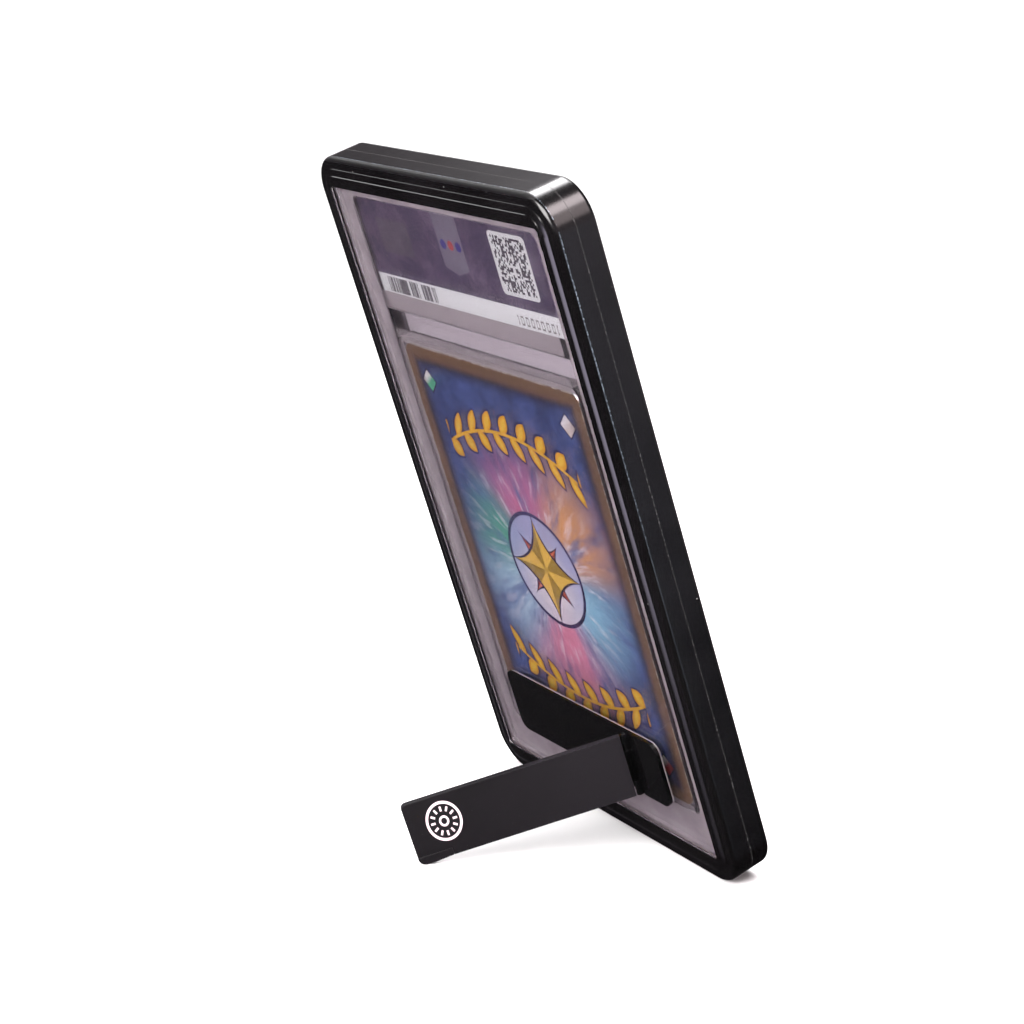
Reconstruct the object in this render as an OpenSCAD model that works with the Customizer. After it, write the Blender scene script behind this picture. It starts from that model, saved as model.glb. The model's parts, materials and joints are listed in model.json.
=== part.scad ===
// Display case for a graded trading card, standing on its fold-out leg.
// The pieces are drawn lying flat: X to the right and Y up as seen from the back,
// Z out of the case's back face. standing() then leans the case on its leg.

/* [Card and label] */
// Width of the trading card
card_w = 63; // [58:0.5:66]
// Height of the trading card
card_h = 88; // [82:0.5:91]
// Thickness of the card
card_t = 0.32; // [0.26:0.01:0.42]
// Corner radius of the card
card_r = 3; // [1:0.25:5]
// Width of the paper label
label_w = 66.6; // [60:0.2:69]
// Height of the paper label
label_h = 20; // [16:0.5:20.5]
// Thickness of the paper label
label_t = 0.24; // [0.15:0.01:0.4]
// Space between the card's top edge and the label's bottom edge
label_space = 11; // [9:0.1:12]

/* [Slab] */
// Width of the slab beside its label or card
slab_side = 6.9; // [6:0.1:9]
// Height of the slab below the card
slab_foot = 11.9; // [9:0.1:14]
// Height of the slab above the label
slab_head = 5.7; // [5:0.1:9]
// Thickness of the slab over its rim
slab_t = 5.8; // [5.2:0.1:8]
// Outer corner radius of the slab
slab_r = 5.1; // [4.8:0.1:6.5]
// Width of the slab's raised rim
slab_rim_w = 4; // [2.8:0.1:4.2]
// How far the rim stands above the slab's face
slab_rim_h = 0.4; // [0.2:0.05:0.7]
// Width of the slope from the rim down to the face
slab_slope_w = 0.4; // [0.2:0.05:0.5]
// Chamfer round the slab's outer edges
slab_chamfer = 0.3; // [0.1:0.05:0.6]
// Thickness of the slab's welded side wall
slab_wall = 2.4; // [1.6:0.1:2.6]
// Height of the hollow inside each shell, beside the wells
slab_hollow = 1.3; // [0.8:0.1:1.6]
// Gap between the two shells where they are welded
weld_gap = 0.02; // [0.01:0.01:0.04]
// Space in front of and behind the card in its wells
well_play = 0.09; // [0.05:0.01:0.2]
// Gap between the card or label and the rear shell
lay_gap = 0.03; // [0.01:0.01:0.04]
// Space round the card and the label in their wells
well_gap = 0.3; // [0.1:0.05:0.5]
// Width of the wall round each well
well_wall = 1.2; // [0.8:0.1:1.5]
// Width of the bar under the label's well
label_bar = 3.4; // [1.5:0.1:4]

/* [Frame] */
// Thickness of the frame's side wall
wall_t = 2.2; // [2:0.1:3]
// Space between the slab and the frame's side wall
slab_gap = 0.2; // [0.1:0.05:0.5]
// Space between the slab and each gasket
slab_play = 0.05; // [0.03:0.01:0.15]
// Radius of the frame's outer edge
edge_r = 0.9; // [0.4:0.1:1.2]
// Width of the lower outer shoulder, edge radius included
shoulder_w = 2.5; // [2:0.1:2.8]
// Width of the bevel up to the raised ring
bevel_w = 1.2; // [0.6:0.1:1.3]
// How far the raised ring stands above the shoulder
ring_rise = 0.6; // [0.3:0.05:0.8]
// Width from the frame's side to the window
rim_side = 4.85; // [4.6:0.05:5.2]
// Width from the frame's top or bottom to the window
rim_end = 5.85; // [5.4:0.05:6.2]
// Thickness of the raised ring round the window
ring_t = 1; // [0.8:0.05:1.1]
// Corner radius of the window opening
opening_r = 1; // [0.5:0.1:2]
// Gap between the two frame halves
seam = 0.06; // [0.04:0.01:0.1]
// Chamfer that draws the line between the halves
seam_chamfer = 0.15; // [0.05:0.05:0.3]

/* [Windows and gaskets] */
// Thickness of each window pane
pane_t = 1.65; // [1.5:0.05:2.4]
// How far the pane's face lies below the raised ring
pane_drop = 0.1; // [0.05:0.05:0.3]
// Width of the thin flange round the pane
flange_w = 1.4; // [1:0.1:1.6]
// Gap between the pane and the frame
pane_gap = 0.08; // [0.05:0.01:0.15]
// Thickness of the bonding tape
tape_t = 0.12; // [0.08:0.01:0.2]
// Thickness of each foam gasket
gasket_t = 0.2; // [0.1:0.05:0.5]
// How far the gasket's inner edge hides behind the ring
gasket_hide = 0.3; // [0.1:0.05:0.6]

/* [Magnets and pins] */
// Length of each bar magnet
magnet_l = 8; // [4:0.5:12]
// Width of each bar magnet
magnet_w = 1.1; // [0.8:0.05:1.2]
// Depth of each bar magnet
magnet_t = 1.5; // [1:0.1:2]
// Gap round each magnet in its pocket
magnet_gap = 0.04; // [0.02:0.01:0.08]
// Spacing of the two magnets on each long side
magnet_span_long = 80; // [50:1:100]
// Spacing of the two magnets on each short side
magnet_span_short = 40; // [30:1:50]
// Diameter of each locating pin
dowel_d = 1; // [0.8:0.05:1.1]
// How deep each locating pin goes into either half
dowel_depth = 1.6; // [1:0.1:2.2]
// Radial running clearance of the locating pins in the front half
dowel_gap = 0.08; // [0.04:0.01:0.1]

/* [Stand] */
// Lean of the case from upright, in degrees
lean = 18.5; // [16:0.1:21]
// How far the base plate reaches above and below the leg
plate_margin = 0.3; // [0.1:0.05:1]
// Thickness of the base plate
plate_t = 0.5; // [0.4:0.05:0.8]
// Corner radius of the base plate
plate_r = 2.2; // [0.5:0.1:4]
// How far the base plate sits to the right of the case's centre line
plate_x = 0.5; // [-2:0.1:2]
// Thickness of the adhesive pad
adhesive_t = 0.2; // [0.1:0.05:0.6]
// How far the adhesive pad lies inside the plate's edge
adhesive_inset = 0.1; // [0:0.05:1]
// Length of the leg from the hinge to its tip
leg_len = 45.2; // [43:0.2:46]
// Width of the leg
leg_w = 13.8; // [12:0.1:15]
// Thickness of the leg
leg_t = 1.25; // [1.1:0.05:1.6]
// Opening angle of the leg from folded, in degrees
leg_open = 65.3; // [58:0.1:72]
// Gap between the hinge barrel and the plate
fold_gap = 0.08; // [0.05:0.01:0.2]
// How far the folded leg's tip reaches past the plate
tip_overhang = 0.6; // [-2:0.1:2]
// Distance from the plate's right end to the hinge
hinge_inset = 9.8; // [7:0.1:11]
// How far the hinge barrel stands out past the leg's faces
barrel_proud = 0.075; // [0.05:0.005:0.12]
// Radius of the hinge pin
pin_r = 0.35; // [0.25:0.01:0.4]
// Radial running clearance of the pin in the leg
pin_gap = 0.03; // [0.01:0.01:0.08]
// Length of each of the plate's two hinge lugs
lug_len = 3.3; // [2.5:0.1:4]
// Gap between the leg and the parts it turns beside
turn_gap = 0.15; // [0.1:0.01:0.25]
// Gap between the hinge barrel and the raised end block
block_gap = 0.1; // [0.05:0.01:0.12]
// Gap left at the stop between the leg's heel and the end block
stop_gap = 0.05; // [0.03:0.01:0.1]
// How far the hinge pin's ends lie inside the lugs
pin_inset = 0.05; // [0:0.01:0.3]
// Radius of the leg's upper tip corner
tip_r = 1; // [0.4:0.1:3]

/* [Rubber foot] */
// Length of the foot along the leg
foot_len = 7; // [4:0.5:12]
// How far the foot stands out below the leg
foot_proud = 0.4; // [0.2:0.05:0.8]
// How far the foot is let into the leg
foot_in = 1.6; // [1.5:0.1:2.4]
// Radius of the foot's tip corner
foot_r = 1.6; // [0.8:0.1:1.6]
// Depth of the flat where the foot meets the surface
foot_flat = 0.12; // [0.05:0.01:0.2]

/* [Hidden] */
$fn = 64;
cut = 0.5;      // how far a cutter reaches past a face
lap = 0.2;      // overlap between solids that are joined
floor_reach = 200;

// The slab's sizes follow from what it holds
slab_w = max(card_w, label_w) + 2 * slab_side;
slab_h = slab_foot + card_h + label_space + label_h + slab_head;
well_depth = max(card_t, label_t) / 2 + well_play;
lay_z = well_depth - lay_gap;

// Frame sizes that follow from the slab and the windows
cavity_w = slab_w + 2 * slab_gap;
cavity_h = slab_h + 2 * slab_gap;
case_w = cavity_w + 2 * wall_t;
case_h = cavity_h + 2 * wall_t;
cavity_r = slab_r + slab_gap;
frame_r = cavity_r + wall_t;
open_w = case_w - 2 * rim_side;
open_h = case_h - 2 * rim_end;
ring_inset = shoulder_w + bevel_w;

// Heights above the seam plane
gasket_z = slab_t / 2 + slab_play;
pane_in_z = gasket_z + gasket_t;
pane_out_z = pane_in_z + pane_t;
crown_z = pane_out_z + pane_drop;
seat_z = crown_z - ring_t;
shoulder_z = crown_z - ring_rise;
edge_z = shoulder_z - edge_r;
slab_face_z = slab_t / 2 - slab_rim_h;

// Places on the slab
card_y = slab_foot + card_h / 2 - slab_h / 2;
label_y = card_y + card_h / 2 + label_space + label_h / 2;

// Places on the stand
plate_z = pane_out_z + adhesive_t;
plate_face_z = plate_z + plate_t;
plate_w = hinge_inset + leg_len - tip_overhang;
plate_h = leg_w + 2 * plate_margin;
barrel_r = leg_t / 2 + barrel_proud;
hinge_x = plate_x + plate_w / 2 - hinge_inset;
hinge_z = plate_face_z + fold_gap + barrel_r;
heel_len = barrel_r;
heel_drop = heel_len * sin(leg_open) - leg_t / 2 * cos(leg_open);
block_z = hinge_z - heel_drop - stop_gap;
block_x = hinge_x + barrel_r + block_gap;
leg_swing = 90 - leg_open;
knuckle_len = leg_w - 2 * lug_len - 2 * turn_gap;

// The standing pose: the case rests on its back bottom edge and on the foot
edge_y = case_h / 2 - edge_r;
lift_z = edge_z * sin(lean) + edge_y * cos(lean) + edge_r;
foot_reach = hinge_z + (leg_len - foot_r) * cos(leg_swing) + leg_t / 2 * sin(leg_swing);
foot_fall = sqrt(pow(cos(leg_swing) * sin(lean), 2) + pow(cos(lean), 2));
foot_y = (foot_reach * sin(lean) - lift_z - foot_flat + foot_r * foot_fall) / cos(lean);
leg_bottom_y = foot_y - foot_r + foot_proud;
stand_y = leg_bottom_y + leg_w / 2;
tip_reach = hinge_z + (leg_len - tip_r) * cos(leg_swing) + leg_t / 2 * sin(leg_swing);
tip_fall = sqrt(pow(cos(leg_swing) * cos(lean), 2) + pow(sin(lean), 2));
back_of_tip = tip_reach * cos(lean) + (stand_y + leg_w / 2 - tip_r) * sin(lean) + tip_r * tip_fall;
back_of_edge = edge_z * cos(lean) + edge_y * sin(lean) + edge_r;
back_of_ring = crown_z * cos(lean) + (case_h / 2 - ring_inset) * sin(lean);
front_reach = max(
    edge_z * cos(lean) + edge_y * sin(lean) + edge_r,
    crown_z * cos(lean) + (case_h / 2 - ring_inset) * sin(lean)
);
shift_y = (front_reach - max(back_of_tip, back_of_edge, back_of_ring)) / 2;

frame_black = [0.05, 0.05, 0.055];
ring_black = [0.03, 0.03, 0.035];
clear_lilac = [0.78, 0.72, 0.78, 0.35];
magnet_grey = [0.62, 0.62, 0.64];
label_violet = [0.25, 0.2, 0.3];
card_blue = [0.16, 0.2, 0.45];
leg_charcoal = [0.2, 0.18, 0.2];
pad_white = [0.85, 0.8, 0.84, 0.6];

// Leans the flat drawing back and sets it on the surface
module standing() {
    translate([0, shift_y, lift_z])
        rotate([90 + lean, 0, 180])
            children();
}

// Rounded rectangle about the origin
module rounded_rect(w, h, r) {
    square([w - 2 * r, h], center = true);
    square([w, h - 2 * r], center = true);
    for (x = [-1, 1], y = [-1, 1])
        translate([x * (w / 2 - r), y * (h / 2 - r)])
            circle(r);
}

module rounded_plate(w, h, r, z0, z1) {
    translate([0, 0, z0])
        linear_extrude(z1 - z0)
            rounded_rect(w, h, r);
}

// Sweeps a section round a rounded rectangle. The section's X runs inwards
// from the outer wall and its Y is the height.
module rim_sweep(w, h, r) {
    for (turn = [0:3]) {
        side = turn % 2 == 0 ? h : w;
        reach = turn % 2 == 0 ? w / 2 : h / 2;
        rotate([0, 0, 90 * turn]) {
            translate([reach, side / 2 - r, 0])
                rotate([90, 0, 0])
                    linear_extrude(side - 2 * r)
                        mirror([1, 0])
                            children();
            translate([reach - r, side / 2 - r, 0])
                rotate_extrude(angle = 90)
                    translate([r, 0])
                        mirror([1, 0])
                            children();
        }
    }
}

// Section of one frame half, from the seam up to the raised ring
module frame_section() {
    inner = ring_inset + 2 * lap;
    polygon([
        [0, seam / 2 + seam_chamfer],
        [seam_chamfer, seam / 2],
        [inner, seam / 2],
        [inner, crown_z],
        [ring_inset, crown_z],
        [shoulder_w, shoulder_z],
        [edge_r, shoulder_z],
        [edge_r, edge_z],
        [0, edge_z]
    ]);
    intersection() {
        translate([edge_r, edge_z])
            circle(edge_r);
        translate([0, edge_z - lap])
            square([edge_r + lap, edge_r + lap]);
    }
}

// Runs its children at the two magnets of each side of the frame's wall
module at_magnets() {
    for (turn = [0:3]) {
        span = turn % 2 == 0 ? magnet_span_long : magnet_span_short;
        reach = turn % 2 == 0 ? case_w / 2 : case_h / 2;
        rotate([0, 0, 90 * turn])
            for (side = [-1, 1])
                translate([reach - wall_t / 2, side * span / 2, 0])
                    children();
    }
}

// Runs its children at the middle of each side of the frame's wall
module at_dowels() {
    for (turn = [0:3]) {
        reach = turn % 2 == 0 ? case_w / 2 : case_h / 2;
        rotate([0, 0, 90 * turn])
            translate([reach - wall_t / 2, 0, 0])
                children();
    }
}

// One frame half, drawn on the back side of the seam
module frame_half(dowel_hole_r) {
    pocket_w = magnet_w + 2 * magnet_gap;
    pocket_l = magnet_l + 2 * magnet_gap;
    difference() {
        union() {
            rim_sweep(case_w, case_h, frame_r)
                frame_section();
            rounded_plate(
                case_w - 2 * (ring_inset + lap), case_h - 2 * (ring_inset + lap),
                frame_r - ring_inset - lap, seat_z - lap, crown_z
            );
        }
        rounded_plate(cavity_w, cavity_h, cavity_r, -cut, pane_in_z);
        rounded_plate(
            open_w + 2 * (flange_w + pane_gap), open_h + 2 * (flange_w + pane_gap),
            opening_r + pane_gap, pane_in_z - cut, seat_z
        );
        rounded_plate(open_w, open_h, opening_r, seat_z - cut, crown_z + cut);
        at_magnets()
            translate([-pocket_w / 2, -pocket_l / 2, -cut])
                cube([pocket_w, pocket_l, cut + seam / 2 + magnet_gap + magnet_t]);
        at_dowels()
            translate([0, 0, -cut])
                cylinder(h = cut + dowel_depth + dowel_gap, r = dowel_hole_r);
    }
}

// One window pane: a thick middle that fills the opening and a thin flange
module pane() {
    rounded_plate(
        open_w - 2 * pane_gap, open_h - 2 * pane_gap,
        opening_r - pane_gap, pane_in_z, pane_out_z
    );
    rounded_plate(
        open_w + 2 * flange_w, open_h + 2 * flange_w,
        opening_r, pane_in_z, seat_z - tape_t
    );
}

// Tape between a pane's flange and the raised ring
module tape_ring() {
    difference() {
        rounded_plate(
            open_w + 2 * (flange_w - pane_gap), open_h + 2 * (flange_w - pane_gap),
            opening_r, seat_z - tape_t, seat_z
        );
        rounded_plate(
            open_w + 2 * pane_gap, open_h + 2 * pane_gap,
            opening_r, seat_z - tape_t - cut, seat_z + cut
        );
    }
}

// Foam ring between a pane and the slab's rim
module gasket_ring() {
    difference() {
        rounded_plate(
            cavity_w - slab_gap, cavity_h - slab_gap,
            cavity_r - slab_gap / 2, gasket_z, pane_in_z
        );
        rounded_plate(
            open_w + 2 * gasket_hide, open_h + 2 * gasket_hide,
            opening_r, gasket_z - cut, pane_in_z + cut
        );
    }
}

module magnet_set() {
    at_magnets()
        translate([-magnet_w / 2, -magnet_l / 2, seam / 2 + magnet_gap])
            cube([magnet_w, magnet_l, magnet_t]);
}

// Section of one slab shell: welded wall, raised rim and the edge of its face
module slab_section() {
    inner = slab_rim_w + slab_slope_w + lap;
    polygon([
        [0, weld_gap / 2],
        [slab_wall, weld_gap / 2],
        [slab_wall, slab_hollow],
        [inner, slab_hollow],
        [inner, slab_face_z],
        [slab_rim_w + slab_slope_w, slab_face_z],
        [slab_rim_w, slab_t / 2],
        [slab_chamfer, slab_t / 2],
        [0, slab_t / 2 - slab_chamfer]
    ]);
}

// One slab shell with the card's and the label's wells on its inner side
module slab_shell() {
    face_inset = slab_rim_w + slab_slope_w;
    well_margin = 2 * (well_gap + well_wall);
    difference() {
        union() {
            rim_sweep(slab_w, slab_h, slab_r)
                slab_section();
            rounded_plate(
                slab_w - 2 * face_inset, slab_h - 2 * face_inset,
                slab_r - face_inset, slab_hollow, slab_face_z
            );
            translate([0, card_y, 0])
                rounded_plate(
                    card_w + well_margin, card_h + well_margin,
                    card_r, weld_gap / 2, slab_hollow + lap
                );
            translate([0, label_y - (label_bar - well_wall) / 2, 0])
                rounded_plate(
                    label_w + well_margin, label_h + well_margin + label_bar - well_wall,
                    well_wall, weld_gap / 2, slab_hollow + lap
                );
        }
        translate([0, card_y + well_gap / 2, 0])
            rounded_plate(card_w + 2 * well_gap, card_h + well_gap, card_r, -cut, well_depth);
        translate([-label_w / 2 - well_gap, label_y - label_h / 2, -cut])
            cube([label_w + 2 * well_gap, label_h + well_gap, cut + well_depth]);
    }
}

// Places its children, drawn folded with the hinge axis at the origin, on the open leg
module on_open_leg() {
    translate([hinge_x, stand_y, hinge_z])
        rotate([0, leg_open, 0])
            children();
}

// A bar along the hinge axis, centred on it
module axis_rod(r, length) {
    rotate([90, 0, 0])
        cylinder(h = length, r = r, center = true);
}

// Outline of the foot, seen along the leg's thickness
module foot_outline() {
    height = foot_proud + foot_in;
    translate([-leg_len, -leg_w / 2 - foot_proud])
        intersection() {
            square([foot_len, height]);
            union() {
                translate([foot_r, foot_r])
                    circle(foot_r);
                translate([foot_r, 0])
                    square([foot_len, height]);
                translate([0, foot_r])
                    square([foot_len, height]);
            }
        }
}

// Outline of the leg's bar, with the foot's notch cut out
module leg_outline() {
    bar_start = barrel_r + turn_gap;
    difference() {
        union() {
            translate([-leg_len, -leg_w / 2])
                square([leg_len - bar_start, leg_w - tip_r]);
            translate([-leg_len + tip_r, -leg_w / 2])
                square([leg_len - tip_r - bar_start, leg_w]);
            translate([-leg_len + tip_r, leg_w / 2 - tip_r])
                circle(tip_r);
        }
        translate([-leg_len - cut, -leg_w / 2 - cut])
            square([foot_len + cut, foot_in + cut]);
    }
}

module back_frame() {
    color(frame_black)
        standing()
            frame_half(dowel_d / 2);
}

module front_frame() {
    color(frame_black)
        standing()
            mirror([0, 0, 1])
                frame_half(dowel_d / 2 + dowel_gap);
}

module back_window() {
    color(clear_lilac)
        standing()
            pane();
}

module front_window() {
    color(clear_lilac)
        standing()
            mirror([0, 0, 1])
                pane();
}

module back_window_tape() {
    color(ring_black)
        standing()
            tape_ring();
}

module front_window_tape() {
    color(ring_black)
        standing()
            mirror([0, 0, 1])
                tape_ring();
}

module back_gasket() {
    color(ring_black)
        standing()
            gasket_ring();
}

module front_gasket() {
    color(ring_black)
        standing()
            mirror([0, 0, 1])
                gasket_ring();
}

module back_magnets() {
    color(magnet_grey)
        standing()
            magnet_set();
}

module front_magnets() {
    color(magnet_grey)
        standing()
            mirror([0, 0, 1])
                magnet_set();
}

module locating_pins() {
    color(magnet_grey)
        standing()
            at_dowels()
                translate([0, 0, -dowel_depth])
                    cylinder(h = 2 * dowel_depth, d = dowel_d);
}

module slab_rear_shell() {
    color(clear_lilac)
        standing()
            slab_shell();
}

module slab_front_shell() {
    color(clear_lilac)
        standing()
            mirror([0, 0, 1])
                slab_shell();
}

module slab_label() {
    color(label_violet)
        standing()
            translate([-label_w / 2, label_y - label_h / 2, lay_z - label_t])
                cube([label_w, label_h, label_t]);
}

module trading_card() {
    color(card_blue)
        standing()
            translate([0, card_y, 0])
                rounded_plate(card_w, card_h, card_r, lay_z - card_t, lay_z);
}

module stand_adhesive() {
    color(pad_white)
        standing()
            translate([plate_x, stand_y, 0])
                rounded_plate(
                    plate_w - 2 * adhesive_inset, plate_h - 2 * adhesive_inset,
                    plate_r - adhesive_inset, pane_out_z, plate_z
                );
}

module stand_plate() {
    lug_y = leg_w / 2 - lug_len / 2;
    color(ring_black)
        standing()
            difference() {
                union() {
                    translate([plate_x, stand_y, 0])
                        rounded_plate(plate_w, plate_h, plate_r, plate_z, plate_face_z);
                    intersection() {
                        translate([plate_x, stand_y, 0])
                            rounded_plate(plate_w, plate_h, plate_r, plate_z, block_z);
                        translate([block_x, stand_y - plate_h, plate_z - cut])
                            cube([plate_w, 2 * plate_h, block_z - plate_z + 2 * cut]);
                    }
                    for (side = [-1, 1])
                        translate([hinge_x, stand_y + side * lug_y, 0]) {
                            translate([0, 0, hinge_z])
                                axis_rod(barrel_r, lug_len);
                            translate([-barrel_r, -lug_len / 2, plate_z + plate_t / 2])
                                cube([2 * barrel_r, lug_len, hinge_z - plate_z - plate_t / 2]);
                        }
                }
                translate([hinge_x, stand_y, hinge_z])
                    axis_rod(pin_r, leg_w + 2 * cut);
            }
}

module hinge_pin() {
    color(magnet_grey)
        standing()
            translate([hinge_x, stand_y, hinge_z])
                axis_rod(pin_r, leg_w - 2 * pin_inset);
}

module stand_leg() {
    neck = barrel_r + turn_gap + lap;
    color(leg_charcoal)
        standing()
            on_open_leg()
                difference() {
                    union() {
                        translate([0, 0, -leg_t / 2])
                            linear_extrude(leg_t)
                                leg_outline();
                        translate([-neck, -knuckle_len / 2, -leg_t / 2])
                            cube([neck, knuckle_len, leg_t]);
                        translate([-neck, -knuckle_len / 2, 0])
                            cube([neck + heel_len, knuckle_len, leg_t / 2]);
                        axis_rod(barrel_r, knuckle_len);
                    }
                    axis_rod(pin_r + pin_gap, leg_w);
                }
}

module leg_foot() {
    color(ring_black)
        difference() {
            standing()
                on_open_leg()
                    translate([0, 0, -leg_t / 2])
                        linear_extrude(leg_t)
                            foot_outline();
            translate([-floor_reach / 2, -floor_reach / 2, -floor_reach])
                cube([floor_reach, floor_reach, floor_reach]);
        }
}

back_frame();
front_frame();
back_window();
front_window();
back_window_tape();
front_window_tape();
back_gasket();
front_gasket();
back_magnets();
front_magnets();
locating_pins();
slab_rear_shell();
slab_front_shell();
slab_label();
trading_card();
stand_adhesive();
stand_plate();
hinge_pin();
stand_leg();
leg_foot();
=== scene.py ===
import json
import math

import bpy
from bpy.props import FloatProperty, FloatVectorProperty, PointerProperty
from mathutils import Euler, Matrix, Vector


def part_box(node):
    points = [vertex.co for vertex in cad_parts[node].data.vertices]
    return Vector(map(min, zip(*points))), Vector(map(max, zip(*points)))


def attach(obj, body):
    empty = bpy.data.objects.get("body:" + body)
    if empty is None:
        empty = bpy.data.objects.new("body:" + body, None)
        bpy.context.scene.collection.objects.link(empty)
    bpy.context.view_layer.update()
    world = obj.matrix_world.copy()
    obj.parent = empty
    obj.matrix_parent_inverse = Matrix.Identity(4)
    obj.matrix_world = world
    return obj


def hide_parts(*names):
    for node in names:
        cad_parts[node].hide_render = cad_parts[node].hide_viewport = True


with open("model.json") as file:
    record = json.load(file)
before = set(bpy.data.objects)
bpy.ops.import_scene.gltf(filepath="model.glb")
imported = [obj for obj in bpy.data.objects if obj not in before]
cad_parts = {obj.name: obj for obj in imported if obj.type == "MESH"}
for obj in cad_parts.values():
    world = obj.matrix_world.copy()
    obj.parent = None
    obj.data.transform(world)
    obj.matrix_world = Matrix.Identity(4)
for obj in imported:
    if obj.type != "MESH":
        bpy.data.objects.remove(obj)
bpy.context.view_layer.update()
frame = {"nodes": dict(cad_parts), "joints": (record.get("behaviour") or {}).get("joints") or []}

bl_info = {
    "name": "Trading Card Display Case",
    "version": (1, 0, 0),
    "blender": (4, 5, 0),
    "location": "3D View > Sidebar > Card Case",
    "description": "Finishes a leaning display case for a slabbed trading card",
    "category": "Object",
}

MM = 0.001

joints = {joint["name"]: joint for joint in frame["joints"]}


# Places worked out from the frame


def case_centre():
    """The middle of the two frame halves together."""
    lows, highs = zip(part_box("back_frame"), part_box("front_frame"))
    low = [min(axis) for axis in zip(*lows)]
    high = [max(axis) for axis in zip(*highs)]
    return (Vector(low) + Vector(high)) / 2


def case_turn():
    """Turns the case's own axes into the frame's: X right and Y up seen from behind, Z out of the back."""
    front = Vector(joints["front_half_lift"]["axis"])
    lean = math.atan2(front.z, -front.y)
    return Euler((math.radians(90) + lean, 0, math.radians(180))).to_matrix()


def case_axes():
    return Matrix.Translation(case_centre()) @ case_turn().to_4x4()


def leg_axes():
    """The open leg's own axes: X from the tip to the hinge, Y up the case, Z out of its outer face."""
    hinge = joints["leg_fold"]
    swing = Matrix.Rotation(math.radians(hinge["range_deg"][1]), 4, "Y")
    return Matrix.Translation(hinge["pos_m"]) @ case_turn().to_4x4() @ swing


def own_box(node, axes=None):
    """A node's lowest and highest corners along the case's or other axes, in millimetres."""
    back = (axes or case_axes()).inverted()
    points = [back @ vertex.co / MM for vertex in frame["nodes"][node].data.vertices]
    low = Vector(min(point[i] for point in points) for i in range(3))
    high = Vector(max(point[i] for point in points) for i in range(3))
    return low, high


# Shader wires


class Wire:
    """A node's output. Sums and products of wires and numbers add Math nodes."""

    def __init__(self, finish, socket):
        self.finish = finish
        self.socket = socket

    def math(self, operation, *others):
        return self.finish.add("Math", dict(enumerate((self, *others))), operation=operation)

    def __add__(self, other):
        return self.math("ADD", other)

    __radd__ = __add__

    def __sub__(self, other):
        return self.math("SUBTRACT", other)

    def __rsub__(self, other):
        return self.finish.add("Math", {0: other, 1: self}, operation="SUBTRACT")

    def __mul__(self, other):
        return self.math("MULTIPLY", other)

    __rmul__ = __mul__

    def __truediv__(self, other):
        return self.math("DIVIDE", other)

    def __abs__(self):
        return self.math("ABSOLUTE")

    def above(self, edge, soft):
        """0 below the edge and 1 above it, with a soft step that many units wide."""
        sockets = {0: self, 1: edge - soft / 2, 2: edge + soft / 2}
        return self.finish.add("MapRange", sockets, interpolation_type="SMOOTHSTEP")

    def below(self, edge, soft):
        return 1 - self.above(edge, soft)

    def lowest(self, other):
        return self.math("MINIMUM", other)

    def highest(self, other):
        return self.math("MAXIMUM", other)

    def repeat(self, period):
        """Folds the value into -period / 2 to period / 2."""
        return self.math("WRAP", period / 2, -period / 2)


def distance(x, y):
    return (x * x + y * y).math("SQRT")


class Tree:
    """The nodes of a material or of the world."""

    def __init__(self, owner):
        owner.use_nodes = True
        self.nodes = owner.node_tree.nodes
        self.links = owner.node_tree.links
        self.nodes.clear()

    def add(self, kind, sockets=None, output=0, stops=None, **settings):
        """Adds a node, makes its settings, then fills its sockets with values or links."""
        node = self.nodes.new("ShaderNode" + kind)
        for name, setting in settings.items():
            setattr(node, name, setting)
        if stops:
            ramp = node.color_ramp
            while len(ramp.elements) < len(stops):
                ramp.elements.new(1.0)
            for element, (position, shade) in zip(ramp.elements, stops):
                element.position = position
                element.color = (*shade, 1.0)
        for name, value in (sockets or {}).items():
            socket = node.inputs[name]
            if isinstance(value, Wire):
                self.links.new(value.socket, socket)
            else:
                socket.default_value = (*value, 1.0) if socket.type == "RGBA" else value
        return Wire(self, node.outputs[output]) if len(node.outputs) else None

    def mix(self, first, second, factor):
        """Mixes two colours, which are the node's sockets 6 and 7."""
        sockets = {0: factor, 6: first, 7: second}
        return self.add("Mix", sockets, output=2, data_type="RGBA")


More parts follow.
